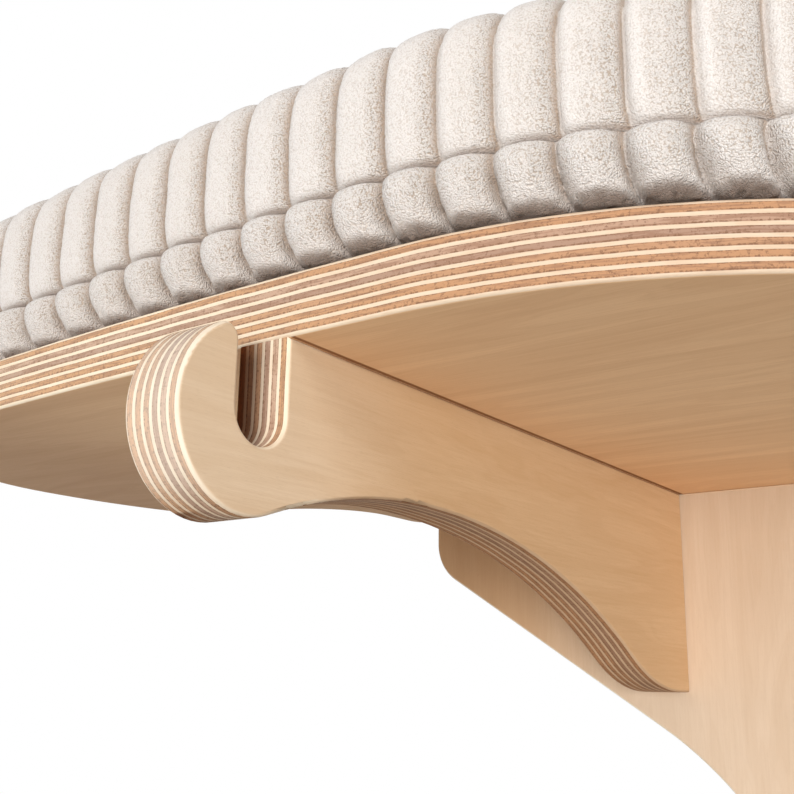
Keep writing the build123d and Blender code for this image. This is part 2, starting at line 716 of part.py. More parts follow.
def zip_slider():
    x0 = slider_start()
    x1 = x0 + SLIDER_LENGTH
    half = TOOTH_HEIGHT - TOOTH_OVERLAP + SLIDER_GAP
    outer = half + SLIDER_WALL
    body = block(x0, x1, TAPE_OUT + SLIDER_GAP, SLIDER_FACE, SEAM_Z - outer, SEAM_Z + outer)
    body -= block(x0 - OVERRUN, x1 + OVERRUN, CUSHION_BACK, TOOTH_OUT + SLIDER_GAP,
                  SEAM_Z - half, SEAM_Z + half)
    pin_x = x0 + SLIDER_LENGTH / 2
    lug_inner = PULL_WIDTH / 2 + SLIDER_GAP
    lug_outer = lug_inner + LUG_THICKNESS
    for side in (-1, 1):
        low, high = sorted((side * lug_inner, side * lug_outer))
        body += block(pin_x - LUG_LENGTH / 2, pin_x + LUG_LENGTH / 2, SLIDER_FACE, PIN_Y + 2 * PIN_R,
                      SEAM_Z + low, SEAM_Z + high)
    return body + Pos(pin_x, PIN_Y, SEAM_Z) * Cylinder(PIN_R, 2 * lug_outer)


def zip_pull():
    pin_x = slider_start() + SLIDER_LENGTH / 2
    barrel = Cylinder(PULL_BARREL_R, PULL_WIDTH)
    tab = block(0, PULL_LENGTH, -PULL_THICKNESS / 2, PULL_THICKNESS / 2, -PULL_WIDTH / 2, PULL_WIDTH / 2)
    eye = Pos(PULL_LENGTH - PULL_WIDTH / 2, 0, 0) * Rot(X=90) * Cylinder(PULL_WIDTH / 4, PULL_WIDTH)
    pull = barrel + tab - eye - Cylinder(PIN_R + PIN_CLEARANCE, PULL_WIDTH + OVERRUN)
    return Pos(pin_x, PIN_Y, SEAM_Z) * pull


def build():
    core = cushion_core()
    pieces = {
        "shelf_board": shelf_board(),
        "wall_plate": wall_plate(),
        "hook_bracket": hook_bracket(),
        "board_plate_screws": group(board_plate_screw_places(), wood_screw()),
        "board_bracket_screws": group(board_bracket_screw_places(), wood_screw()),
        "plate_bracket_screws": group(plate_bracket_screw_places(), wood_screw()),
        "board_plate_dowels": group(board_plate_dowel_places(), dowel()),
        "board_bracket_dowels": group(board_bracket_dowel_places(), dowel()),
        "plate_bracket_dowel": group(plate_bracket_dowel_places(), dowel()),
        "hook_patches": group(patch_places(HOOK_PATCH_Z), patch()),
        "loop_patches": group(patch_places(LOOP_PATCH_Z), patch()),
        "cushion_top_panel": cushion_top_panel(core),
        "cushion_bottom_panel": cushion_bottom_panel(core),
        "cushion_foam_core": core,
        "perimeter_seam": seam_ring(),
        "zip_tapes": zip_tapes(),
        "zip_teeth": zip_teeth(),
        "zip_end_stops": zip_end_stops(),
        "zip_slider": zip_slider(),
        "zip_pull": zip_pull(),
    }
    os.makedirs("parts", exist_ok=True)
    for name, piece in pieces.items():
        export_step(solids_of(piece), os.path.join("parts", name + ".step"))


build()
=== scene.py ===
"""Looks of the cat wall shelf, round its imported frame: plywood, ribbed plush cushion, zip and fasteners."""
import math
import bpy
import numpy as np
from mathutils import Matrix, Vector
from mathutils.geometry import delaunay_2d_cdt


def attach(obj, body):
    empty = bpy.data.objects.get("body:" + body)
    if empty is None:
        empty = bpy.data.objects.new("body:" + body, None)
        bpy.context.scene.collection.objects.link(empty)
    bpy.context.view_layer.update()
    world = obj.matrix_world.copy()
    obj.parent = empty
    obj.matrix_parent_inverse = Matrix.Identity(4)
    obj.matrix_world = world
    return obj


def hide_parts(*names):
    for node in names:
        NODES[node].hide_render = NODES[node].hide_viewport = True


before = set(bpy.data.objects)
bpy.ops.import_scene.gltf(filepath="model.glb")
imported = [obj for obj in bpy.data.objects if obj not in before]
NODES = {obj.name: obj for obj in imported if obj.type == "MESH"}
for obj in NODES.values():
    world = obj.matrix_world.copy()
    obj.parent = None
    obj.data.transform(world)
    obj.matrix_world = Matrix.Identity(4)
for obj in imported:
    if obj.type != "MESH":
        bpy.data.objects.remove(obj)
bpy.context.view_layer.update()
MM = 0.001
X, Y, Z = 0, 1, 2


# Camera
CAMERA_PLACE = (0.19195, -0.49164, -0.07545)
CAMERA_RIGHT = (0.81471, 0.57966, 0.01533)
CAMERA_UP = (0.13987, -0.2221, 0.96494)
CAMERA_FORWARD = (-0.56274, 0.78401, 0.26202)
CAMERA_LENS = 50.33
SENSOR_WIDTH = 36.0
NEAR_CLIP = 0.01
FAR_CLIP = 50.0

camera_data = bpy.data.cameras.new("camera")
camera_data.sensor_width = SENSOR_WIDTH
camera_data.lens = CAMERA_LENS
camera_data.clip_start = NEAR_CLIP
camera_data.clip_end = FAR_CLIP
camera = bpy.data.objects.new("camera", camera_data)
bpy.context.scene.collection.objects.link(camera)
turn = Matrix((CAMERA_RIGHT, CAMERA_UP, [-c for c in CAMERA_FORWARD])).transposed()
camera.matrix_world = Matrix.Translation(CAMERA_PLACE) @ turn.to_4x4()
bpy.context.scene.camera = camera
bpy.context.scene.view_settings.view_transform = "Standard"


# Node helpers
MIX_INPUT_A = 6
MIX_INPUT_B = 7
MIX_RESULT = 2


class Tree:
    """A node tree, built by small calls."""

    def __init__(self, tree):
        self.tree = tree
        self.tree.nodes.clear()

    def link(self, source, target):
        self.tree.links.new(source, target)

    def node(self, kind, **settings):
        node = self.tree.nodes.new("ShaderNode" + kind)
        for key, value in settings.items():
            setattr(node, key, value)
        return node

    def feed(self, socket, value):
        if isinstance(value, bpy.types.NodeSocket):
            self.link(value, socket)
        else:
            socket.default_value = value

    def feed_color(self, socket, value):
        self.feed(socket, value if isinstance(value, bpy.types.NodeSocket) else (*value, 1.0))

    def math(self, operation, a, b=0.0):
        node = self.node("Math", operation=operation)
        self.feed(node.inputs[0], a)
        self.feed(node.inputs[1], b)
        return node.outputs[0]


class Shader(Tree):
    """A material with one Principled surface, and the patterns that feed it."""

    def __init__(self, name):
        self.material = bpy.data.materials.new(name)
        self.material.use_nodes = True
        super().__init__(self.material.node_tree)
        self.surface = self.node("BsdfPrincipled")
        self.link(self.surface.outputs["BSDF"], self.node("OutputMaterial").inputs["Surface"])

    def mix(self, share, a, b, blend="MIX"):
        node = self.node("Mix", data_type="RGBA", blend_type=blend)
        self.feed(node.inputs["Factor"], share)
        self.feed_color(node.inputs[MIX_INPUT_A], a)
        self.feed_color(node.inputs[MIX_INPUT_B], b)
        return node.outputs[MIX_RESULT]

    def remap(self, value, over, to=(0.0, 1.0)):
        """A smooth step from one number to another while the value crosses a range."""
        node = self.node("MapRange", interpolation_type="SMOOTHSTEP")
        for socket, item in zip(node.inputs, (value, *over, *to)):
            self.feed(socket, item)
        return node.outputs[0]

    def tinted(self, color, tone, value, over, share):
        """The color mixed with a tone, by a share that steps smoothly while the value crosses a range."""
        return self.mix(self.remap(value, over, share), color, tone)

    def place(self):
        """The point in the frame's own coordinates, in millimetres."""
        node = self.node("VectorMath", operation="SCALE")
        self.link(self.node("TexCoord").outputs["Object"], node.inputs[0])
        node.inputs["Scale"].default_value = 1.0 / MM
        return node.outputs[0]

    def stretched(self, place, scale):
        node = self.node("VectorMath", operation="MULTIPLY")
        self.link(place, node.inputs[0])
        node.inputs[1].default_value = scale
        return node.outputs[0]

    def split(self, place):
        node = self.node("SeparateXYZ")
        self.link(place, node.inputs[0])
        return node.outputs

    def noise_node(self, place, scale=1.0, detail=3.0, roughness=0.55, distortion=0.0):
        node = self.node("TexNoise")
        self.link(place, node.inputs["Vector"])
        node.inputs["Scale"].default_value = scale
        node.inputs["Detail"].default_value = detail
        node.inputs["Roughness"].default_value = roughness
        node.inputs["Distortion"].default_value = distortion
        return node

    def noise(self, place, **settings):
        return self.noise_node(place, **settings).outputs["Fac"]

    def drawn_noise(self, place, axis, scales, **settings):
        """Noise with one scale along an axis and another across it."""
        along, across = scales
        stretch = [across] * 3
        stretch[axis] = along
        return self.noise(self.stretched(place, stretch), **settings)

    def white_noise(self, number):
        node = self.node("TexWhiteNoise", noise_dimensions="1D")
        self.feed(node.inputs["W"], number)
        return node.outputs["Value"]

    def cells(self, place, scale, randomness=1.0):
        """The distance to the nearest of many scattered points."""
        node = self.node("TexVoronoi", feature="F1")
        self.link(place, node.inputs["Vector"])
        node.inputs["Scale"].default_value = scale
        node.inputs["Randomness"].default_value = randomness
        return node.outputs["Distance"]

    def attribute(self, name):
        return self.node("Attribute", attribute_name=name).outputs["Fac"]

    def ramp(self, value, stops):
        node = self.node("ValToRGB")
        elements = node.color_ramp.elements
        while len(elements) > 1:
            elements.remove(elements[-1])
        elements[0].position = stops[0][0]
        elements[0].color = (*stops[0][1], 1.0)
        for position, color in stops[1:]:
            elements.new(position).color = (*color, 1.0)
        self.feed(node.inputs[0], value)
        return node.outputs["Color"]

    def bump(self, height, distance, strength):
        """The distance is in metres."""
        node = self.node("Bump")
        self.feed(node.inputs["Height"], height)
        node.inputs["Distance"].default_value = distance
        node.inputs["Strength"].default_value = strength
        return node.outputs["Normal"]

    def finish(self, color, roughness, normal=None, **sockets):
        self.feed_color(self.surface.inputs["Base Color"], color)
        self.feed(self.surface.inputs["Roughness"], roughness)
        if normal is not None:
            self.link(normal, self.surface.inputs["Normal"])
        for key, value in sockets.items():
            self.feed(self.surface.inputs[key.replace("_", " ")], value)
        return self.material


def dress(obj, material):
    obj.data.materials.clear()
    obj.data.materials.append(material)


# Plywood: thirteen plies, seven thin light ones with six thicker dark ones between them
SHEET_THICKNESS = 18.0
LIGHT_PLY = 1.0
PLY_PAIRS = 6
PAIR = (SHEET_THICKNESS - LIGHT_PLY) / PLY_PAIRS
PLY_BLUR = 0.07
PLY_WAVE = 0.5
WAVE_SCALE = (0.05, 0.05, 0.05)
DARK_TONE_SHIFT = 0.5
LIGHT_TONE_SHIFT = 20.5
GLUE_LINE = 0.22
GLUE_COLOR = (0.26, 0.145, 0.085)
LIGHT_PLY_COLOR = (0.89, 0.77, 0.60)
WARM_PLY_COLOR = (0.84, 0.62, 0.42)
LIGHT_STREAK_COLOR = (0.72, 0.50, 0.31)
DARK_PLY_COLORS = [
    (0.0, (0.47, 0.315, 0.23)),
    (0.35, (0.54, 0.38, 0.285)),
    (0.6, (0.575, 0.41, 0.31)),
    (0.85, (0.61, 0.36, 0.20)),
]
DARK_STREAK_COLOR = (0.36, 0.21, 0.135)
PORE_COLOR = (0.24, 0.135, 0.085)
FLECK_COLOR = (0.1, 0.05, 0.02)

# Scales of the grain, per millimetre: streaks across the plies and along them, the others along the grain
# and across it
STREAK_SCALES = (1.2, 0.09)
FIGURE_SCALES = (0.006, 0.05)
VEIN_SCALES = (0.05, 1.6)
FLECK_SCALES = (0.35, 5.0)
RINGS = 55.0

# The face is a skin on both sides of the sheet, which gives way to the plies between these depths.
SKIN_FADE = (0.02, 0.2)
EDGE_ROUGHNESS = 0.62
FACE_ROUGHNESS_CHANGE = -0.05


def ply_edge(s, place, depth, across):
    """Color and height of a sheet's edge: each ply in its own tone, with streaks, pores and glue lines."""
    wave = s.math("SUBTRACT", s.noise(s.stretched(place, WAVE_SCALE), detail=1.0), 0.5)
    pair = s.math("DIVIDE", s.math("ADD", depth, s.math("MULTIPLY", wave, PLY_WAVE)), PAIR)
    number = s.math("FLOOR", pair)
    within = s.math("MULTIPLY", s.math("SUBTRACT", pair, number), PAIR)
    light_tone = s.white_noise(s.math("ADD", number, LIGHT_TONE_SHIFT))
    dark_tone = s.white_noise(s.math("ADD", number, DARK_TONE_SHIFT))

    # Streaks run through all the plies, and pores lie in the dark ones.
    streaks = s.drawn_noise(place, across, STREAK_SCALES, detail=4.0, roughness=0.65)
    pores = s.noise(place, detail=4.0, roughness=0.75)
    light = s.tinted(LIGHT_PLY_COLOR, WARM_PLY_COLOR, light_tone, over=(0.0, 1.0), share=(0.0, 0.2))
    light = s.tinted(light, LIGHT_STREAK_COLOR, streaks, over=(0.42, 0.65), share=(0.0, 0.3))
    dark = s.ramp(dark_tone, DARK_PLY_COLORS)
    dark = s.tinted(dark, DARK_STREAK_COLOR, streaks, over=(0.46, 0.58), share=(0.0, 0.6))
    dark = s.tinted(dark, PORE_COLOR, pores, over=(0.53, 0.66), share=(0.0, 0.7))
    is_light = s.remap(within, (LIGHT_PLY - PLY_BLUR, LIGHT_PLY + PLY_BLUR), (1.0, 0.0))
    color = s.mix(is_light, dark, light)

    # The glue lies on both sides of a light ply, broken by pores.
    after_light = s.math("ABSOLUTE", s.math("SUBTRACT", within, LIGHT_PLY + GLUE_LINE))
    from_glue = s.math("MINIMUM", after_light, s.math("SUBTRACT", PAIR, within))
    line = s.remap(from_glue, (GLUE_LINE * 0.5, GLUE_LINE * 1.3), (0.85, 0.0))
    glue = s.math("MULTIPLY", line, s.remap(pores, (0.46, 0.54), (0.1, 1.0)))
    return s.mix(glue, color, GLUE_COLOR), s.math("ADD", is_light, pores)


def ply_face(s, place, coordinates, along, face_color, vein_color, figure, drift):
    """Color and height of a face veneer: figure, veins and flecks, drawn out along the grain.

    The drift is painted light and shade: an axis, the range the color changes over along it, and its end
    color.
    """
    broad = s.drawn_noise(place, along, FIGURE_SCALES, detail=2.0, distortion=figure)
    rings = s.math("SINE", s.math("MULTIPLY", broad, RINGS))
    veins = s.drawn_noise(place, along, VEIN_SCALES, detail=4.0, roughness=0.6)
    flecks = s.drawn_noise(place, along, FLECK_SCALES, detail=2.0)
    axis, start, end, end_color = drift
    drifted = s.remap(coordinates[axis], (start, end))
    end_veins = [c * v / f for c, v, f in zip(end_color, vein_color, face_color)]
    color = s.mix(drifted, face_color, end_color)
    dark = s.mix(drifted, vein_color, end_veins)
    color = s.tinted(color, dark, broad, over=(0.3, 0.7), share=(0.0, 0.45))
    color = s.tinted(color, dark, rings, over=(-0.2, 1.0), share=(0.0, 0.16))
    color = s.tinted(color, dark, veins, over=(0.35, 0.75), share=(0.0, 0.32))
    color = s.tinted(color, s.mix(0.22, dark, FLECK_COLOR), flecks, over=(0.55, 0.8), share=(0.0, 0.3))
    return color, s.math("ADD", veins, flecks)


def toned(s, coordinates, color, tones):
    """The color with other tones blended in, each with its share inside ranges of the axes."""
    for blend, tone, share, *ranges in tones:
        for axis, start, end in ranges:
            share = s.math("MULTIPLY", share, s.remap(coordinates[axis], (start, end)))
        color = s.mix(share, color, tone, blend)
    return color


def plywood(name, across, start, along, face_color, vein_color, figure, gloss, drift, edge_tones,
            face_tones=()):
    """Plywood whose thickness runs along one axis from a start, with its grain along another."""
    s = Shader(name)
    place = s.place()
    coordinates = s.split(place)
    depth = s.math("SUBTRACT", coordinates[across], start)
    edge, edge_height = ply_edge(s, place, depth, across)
    edge = toned(s, coordinates, edge, edge_tones)
    face, face_height = ply_face(s, place, coordinates, along, face_color, vein_color, figure, drift)
    face = toned(s, coordinates, face, face_tones)
    skin = s.math("MINIMUM", depth, s.math("SUBTRACT", SHEET_THICKNESS, depth))
    on_face = s.remap(skin, SKIN_FADE, (1.0, 0.0))
    color = s.mix(on_face, edge, face)
    height = s.mix(on_face, edge_height, face_height)
    roughness = s.math("ADD", EDGE_ROUGHNESS, s.math("MULTIPLY", on_face, FACE_ROUGHNESS_CHANGE))
    normal = s.bump(height, distance=0.00008, strength=0.5)
    return s.finish(color, roughness=roughness, normal=normal, Specular_IOR_Level=gloss)


BOARD_UNDERSIDE_Z = 15.0
PLATE_FRONT_Y = -18.0
BRACKET_LEFT_X = -9.0

board_wood = plywood(
    "board_wood", across=Z, start=BOARD_UNDERSIDE_Z, along=X,
    face_color=(0.93, 0.625, 0.37), vein_color=(0.73, 0.43, 0.225), figure=1.2, gloss=0.12,
    # The face darkens towards the left in painted shade.
    drift=(X, -50.0, -190.0, (0.62, 0.385, 0.215)),
    edge_tones=[
        # Darker and redder to the right, and browner at the left end
        ("MULTIPLY", (0.82, 0.75, 0.72), 1.0, (X, -60.0, 110.0)),
        ("MIX", (0.72, 0.53, 0.36), 0.4, (X, -90.0, -190.0)),
    ],
    face_tones=[
        # Painted contact shadow along the bracket's right side, where it meets the board
        ("MULTIPLY", (0.30, 0.16, 0.08), 0.9, (X, 8.6, 9.0), (X, 10.5, 9.8), (Y, -287.0, -285.0)),
    ])
plate_wood = plywood(
    "plate_wood", across=Y, start=PLATE_FRONT_Y, along=Z,
    face_color=(0.71, 0.56, 0.42), vein_color=(0.62, 0.46, 0.32), figure=2.0, gloss=0.12,
    # The face darkens towards the board in painted shade.
    drift=(Z, -75.0, 10.0, (0.60, 0.46, 0.335)),
    edge_tones=[
        # Painted shade, darker towards the board
        ("MULTIPLY", (0.85, 0.80, 0.76), 1.0, (Z, -75.0, 10.0)),
    ],
    face_tones=[
        # Painted shadow of the bracket, darker at the left tip
        ("MULTIPLY", (0.81, 0.66, 0.51), 1.0, (X, 0.0, -90.0)),
    ])
bracket_wood = plywood(
    "bracket_wood", across=X, start=BRACKET_LEFT_X, along=Y,
    face_color=(0.77, 0.535, 0.32), vein_color=(0.65, 0.41, 0.215), figure=1.4, gloss=0.02,
    # The face is paler towards the hook in painted light.
    drift=(Y, -210.0, -290.0, (0.81, 0.625, 0.44)),
    edge_tones=[
        # Painted light, paler at the hook's front, and painted shade, darker under the hook
        ("MIX", (0.90, 0.82, 0.74), 0.25, (Y, -304.0, -318.0)),
        ("MULTIPLY", (0.74, 0.57, 0.46), 1.0, (Z, -24.0, -50.0), (Y, -255.0, -280.0)),
        # Painted shade, darker and browner along the arch
        ("MULTIPLY", (0.77, 0.61, 0.49), 1.0, (Y, -280.0, -255.0)),
        ("MIX", (0.33, 0.21, 0.135), 0.2, (Y, -280.0, -255.0)),
        # The slot lies in its own shade, deepest at the left.
        ("MULTIPLY", (0.19, 0.07, 0.02), 1.0, (X, 5.0, -8.0), (Y, -306.0, -304.0), (Y, -282.0, -284.0),
         (Z, -36.0, -32.0)),
    ])
dress(NODES["shelf_board"], board_wood)
dress(NODES["wall_plate"], plate_wood)
dress(NODES["hook_bracket"], bracket_wood)


# Dowels, screws, patches, foam and zip
def dowel_wood(name, light, dark):
    s = Shader(name)
    fibre = s.drawn_noise(s.place(), Z, (0.2, 2.5), detail=4.0)
    normal = s.bump(fibre, distance=0.0001, strength=0.6)
    return s.finish(s.mix(fibre, light, dark), roughness=0.6, normal=normal)


def steel(name, light, dark, roughness):
    s = Shader(name)
    place = s.place()
    scratches = s.drawn_noise(place, Y, (0.8, 6.0), detail=5.0, roughness=0.7)
    patches = s.noise(place, scale=0.5)
    color = s.tinted(light, dark, scratches, over=(0.3, 0.7), share=(0.0, 1.0))
    rough = s.math("ADD", roughness, s.math("MULTIPLY", patches, 0.15))
    normal = s.bump(scratches, distance=0.00002, strength=0.4)
    return s.finish(color, roughness=rough, normal=normal, Metallic=1.0)


def woven(name, light, dark, pitch):
    """A close weave, its threads along X and Z or Y."""
    s = Shader(name)
    place = s.place()
    x, y, z = s.split(place)
    turns = 2 * math.pi / pitch
    warp = s.math("SINE", s.math("MULTIPLY", x, turns))
    weft = s.math("SINE", s.math("MULTIPLY", s.math("ADD", y, z), turns))
    height = s.math("ADD", s.math("MULTIPLY", warp, weft), s.noise(place, scale=3.0, detail=4.0))
    color = s.tinted(dark, light, height, over=(-0.6, 1.4), share=(0.0, 1.0))
    normal = s.bump(height, distance=0.00015, strength=0.8)
    return s.finish(color, roughness=0.9, normal=normal, Sheen_Weight=0.3)


def foam(name, light, dark):
    s = Shader(name)
    cells = s.cells(s.place(), 0.9)
    color = s.tinted(dark, light, cells, over=(0.0, 0.8), share=(0.0, 1.0))
    normal = s.bump(cells, distance=0.0004, strength=0.8)
    return s.finish(color, roughness=0.95, normal=normal)


def moulded(name, light, dark):
    s = Shader(name)
    grain = s.noise(s.place(), scale=4.0)
    normal = s.bump(grain, distance=0.00003, strength=0.5)
    return s.finish(s.mix(grain, dark, light), roughness=0.45, normal=normal)


def nylon(name, light, dark, scale):
    """Hook-and-loop tape: close rows of small hooks or loops."""
    s = Shader(name)
    height = s.math("SUBTRACT", 1.0, s.cells(s.place(), scale, randomness=0.5))
    color = s.tinted(dark, light, height, over=(0.4, 0.9), share=(0.0, 1.0))
    normal = s.bump(height, distance=0.0004, strength=0.9)
    return s.finish(color, roughness=0.7, normal=normal)


for material, *node_names in (
    (dowel_wood("dowel_wood", light=(0.72, 0.50, 0.31), dark=(0.50, 0.31, 0.17)),
     "board_plate_dowels", "board_bracket_dowels", "plate_bracket_dowel"),
    (steel("zinc", light=(0.72, 0.72, 0.71), dark=(0.48, 0.48, 0.47), roughness=0.25),
     "board_plate_screws", "board_bracket_screws", "plate_bracket_screws"),
    (steel("zip_steel", light=(0.78, 0.76, 0.72), dark=(0.58, 0.56, 0.53), roughness=0.28),
     "zip_slider", "zip_pull", "zip_end_stops"),
    (woven("zip_cloth", light=(0.78, 0.70, 0.62), dark=(0.56, 0.48, 0.40), pitch=0.7), "zip_tapes"),
    (moulded("zip_plastic", light=(0.82, 0.77, 0.70), dark=(0.66, 0.61, 0.54)), "zip_teeth"),
    (nylon("hook_tape", light=(0.80, 0.76, 0.70), dark=(0.50, 0.46, 0.41), scale=1.1), "hook_patches"),
    (nylon("loop_tape", light=(0.82, 0.79, 0.74), dark=(0.58, 0.54, 0.49), scale=0.8), "loop_patches"),
    (foam("foam", light=(0.88, 0.84, 0.72), dark=(0.70, 0.64, 0.50)), "cushion_foam_core"),
):
    for node_name in node_names:
        dress(NODES[node_name], material)


# The cushion's plan, in millimetres: the board's outline with a straight back and round back corners
BOARD_DEPTH = 285.0
BOARD_LEFT = 241.0
BOARD_RIGHT = 210.0
FRONT_RADIUS = 1800.0
FRONT_APEX_X = 25.0
LEFT_CORNER_RADIUS = 105.0
LEFT_FLANK_RADIUS = 230.0
RIGHT_CORNER_RADIUS = 170.0
RIGHT_CORNER_X = 40.0
RIGHT_FLANK_RADIUS = 150.0
CUSHION_BACK = -9.0
BACK_CORNER_RADIUS = 45.0
SPINE = np.array([(-112.0, -165.0), (45.0, -130.0)])
FINE_STEP = 0.7
COARSE_STEP = 1.5
HALF_TURN = math.pi
QUARTER_TURN = HALF_TURN / 2
FULL_TURN = 2 * HALF_TURN


def leg(hypotenuse, other_leg):
    return math.sqrt(hypotenuse ** 2 - other_leg ** 2)


def bearing(a, b):
    return math.atan2(b[1] - a[1], b[0] - a[0])


def plan():
    """Points and outward normals round the cushion, anticlockwise from the left end of its straight back."""
    front = (FRONT_APEX_X, FRONT_RADIUS - BOARD_DEPTH)
    left_x = LEFT_CORNER_RADIUS - BOARD_LEFT
    left = (left_x, front[1] - leg(FRONT_RADIUS - LEFT_CORNER_RADIUS, left_x - front[0]))
    right_drop = leg(FRONT_RADIUS - RIGHT_CORNER_RADIUS, RIGHT_CORNER_X - front[0])
    right = (RIGHT_CORNER_X, front[1] - right_drop)
    left_flank = (LEFT_FLANK_RADIUS - BOARD_LEFT, left[1])
    right_flank = (BOARD_RIGHT - RIGHT_FLANK_RADIUS, right[1])
    corner_y = CUSHION_BACK - BACK_CORNER_RADIUS
    left_reach = leg(LEFT_FLANK_RADIUS - BACK_CORNER_RADIUS, left_flank[1] - corner_y)
    back_left = (left_flank[0] - left_reach, corner_y)
    right_reach = leg(RIGHT_FLANK_RADIUS - BACK_CORNER_RADIUS, right_flank[1] - corner_y)
    back_right = (right_flank[0] + right_reach, corner_y)

    to_back_left = bearing(left_flank, back_left) % FULL_TURN
    to_left = bearing(front, left) % FULL_TURN
    to_right = bearing(front, right) % FULL_TURN
    to_back_right = FULL_TURN + bearing(right_flank, back_right)
    arcs = [
        (back_left, BACK_CORNER_RADIUS, QUARTER_TURN, to_back_left, COARSE_STEP),
        (left_flank, LEFT_FLANK_RADIUS, to_back_left, HALF_TURN, COARSE_STEP),
        (left, LEFT_CORNER_RADIUS, HALF_TURN, to_left, FINE_STEP),
        (front, FRONT_RADIUS, to_left, to_right, FINE_STEP),
        (right, RIGHT_CORNER_RADIUS, to_right, FULL_TURN, FINE_STEP),
        (right_flank, RIGHT_FLANK_RADIUS, FULL_TURN, to_back_right, COARSE_STEP),
        (back_right, BACK_CORNER_RADIUS, to_back_right, FULL_TURN + QUARTER_TURN, COARSE_STEP),
    ]
    points, normals = [], []
    for centre, radius, start, end, step in arcs:
        count = max(2, int(abs(end - start) * radius / step))
        for k in range(count):
            angle = start + (end - start) * k / count
            normals.append((math.cos(angle), math.sin(angle)))
            points.append((centre[0] + radius * math.cos(angle), centre[1] + radius * math.sin(angle)))
    start, end = back_right[0], back_left[0]
    count = int((start - end) / COARSE_STEP)
    for k in range(count):
        points.append((start + (end - start) * k / count, CUSHION_BACK))
        normals.append((0.0, 1.0))
    return np.array(points), np.array(normals)


def inward(points):
    """Unit directions from the outline to the spine and how far that is."""
    a, b = SPINE
    along = b - a
    share = np.clip(((points - a) @ along) / (along @ along), 0.0, 1.0)
    gap = a + share[:, None] * along - points
    length = np.linalg.norm(gap, axis=1)
    return gap / length[:, None], length


def smoothstep(value, low, high):
    t = np.clip((value - low) / (high - low), 0.0, 1.0)
    return t * t * (3 - 2 * t)


# The cushion's front leans out on the right and in on the left of a place that it leaves as it is.
LEAN_PER_MM = 0.025
LEAN_ZERO_X = 20.0
LEAN_LEFT = -140.0
LEAN_RIGHT = 120.0

POINTS, NORMALS = plan()
HEADING, REACH = inward(POINTS)
BACKWARD = smoothstep(NORMALS[:, 1], low=0.75, high=0.97)
FORWARD = smoothstep(-NORMALS[:, 1], low=0.1, high=0.7)
OVERHANG = LEAN_PER_MM * np.clip(POINTS[:, 0] - LEAN_ZERO_X, LEAN_LEFT, LEAN_RIGHT) * FORWARD


def place_at(distance):
    """Plan places at inward distances: along the normal outside the outline, towards the spine inside it."""
    d = distance[..., None]
    return POINTS[:, None, :] + np.where(d < 0, -NORMALS[:, None, :], HEADING[:, None, :]) * d


# Lines and noise
SPLINE_STEPS = 40
HASH_FACTORS = (127.1, 311.7, 74.7)
HASH_SPREAD = 43758.5453


def run_length(line):
    """How far along a line each of its points lies."""
    return np.concatenate([[0], np.cumsum(np.linalg.norm(np.diff(line, axis=0), axis=1))])


def spline(controls, samples):
    """A smooth line through control points, sampled evenly along its length."""
    p = np.array(controls, float)
    p = np.vstack([2 * p[0] - p[1], p, 2 * p[-1] - p[-2]])
    t = np.linspace(0, 1, SPLINE_STEPS, endpoint=False)[:, None]
    dense = []
    for a, b, c, d in zip(p, p[1:], p[2:], p[3:]):
        dense.append(0.5 * (2 * b + (c - a) * t + (2 * a - 5 * b + 4 * c - d) * t ** 2
                            + (3 * b - a - 3 * c + d) * t ** 3))
    dense = np.vstack(dense + [p[-2][None]])
    length = run_length(dense)
    at = np.linspace(0, length[-1], samples)
    return np.stack([np.interp(at, length, dense[:, k]) for k in (0, 1)], axis=1)


def hashed(a, b, seed):
    """A steady random number from 0 to 1 for each pair of whole numbers."""
    v = np.sin(a * HASH_FACTORS[0] + b * HASH_FACTORS[1] + seed * HASH_FACTORS[2]) * HASH_SPREAD
    return v - np.floor(v)


def soft_noise(u, v, cell, seed):
    """Smooth noise about zero on a grid."""
    gu, gv = np.floor(u / cell), np.floor(v / cell)
    fu, fv = u / cell - gu, v / cell - gv
    fu, fv = fu * fu * (3 - 2 * fu), fv * fv * (3 - 2 * fv)
    low = hashed(gu, gv, seed) * (1 - fu) + hashed(gu + 1, gv, seed) * fu
    high = hashed(gu, gv + 1, seed) * (1 - fu) + hashed(gu + 1, gv + 1, seed) * fu
    return low * (1 - fv) + high * fv - 0.5


# The pile: small loops on a jittered grid, a slow swell, and a fringe along the lower rim
PILE_CELL = 1.0
PILE_HEIGHT = 0.24
LOOP_SEEDS = (1, 2, 3)
LOOP_JITTER = 0.7
LOOP_RADIUS = 0.78
LOWEST_LOOP = 0.65
VALLEY_PILE = 0.35
TOP_SHIFT = (3000.0, 5000.0)
SWELL_SEED = 7
SWELL_CELL = 9.0
SWELL_SLANT = 0.7
SWELL_HEIGHT = 0.45
FRINGE_SEED = 9
FRINGE_WIDTH = 1.1
FRINGE_RISE = 2.4
FRINGE_LENGTH = 0.9
FRINGE_TOP_Z = 38.5
FRINGE_FADE = 3.0


def loops(u, v):
    """The height of the pile's loops, from 0 in the gaps to 1 on top."""
    gu, gv = np.floor(u / PILE_CELL), np.floor(v / PILE_CELL)
    near = np.full(u.shape, np.inf)
    lift = np.zeros(u.shape)
    for i in (-1, 0, 1):
        for j in (-1, 0, 1):
            cu, cv = gu + i, gv + j
            jitter_u, jitter_v, height = (hashed(cu, cv, seed) for seed in LOOP_SEEDS)
            pu = (cu + 0.5 + LOOP_JITTER * (jitter_u - 0.5)) * PILE_CELL
            pv = (cv + 0.5 + LOOP_JITTER * (jitter_v - 0.5)) * PILE_CELL
            gap = np.hypot(u - pu, v - pv) / PILE_CELL
            closer = gap < near
            near = np.where(closer, gap, near)
            lift = np.where(closer, height, lift)
    return np.clip(1.0 - (near / LOOP_RADIUS) ** 2, 0.0, 1.0) * (LOWEST_LOOP + (1 - LOWEST_LOOP) * lift)


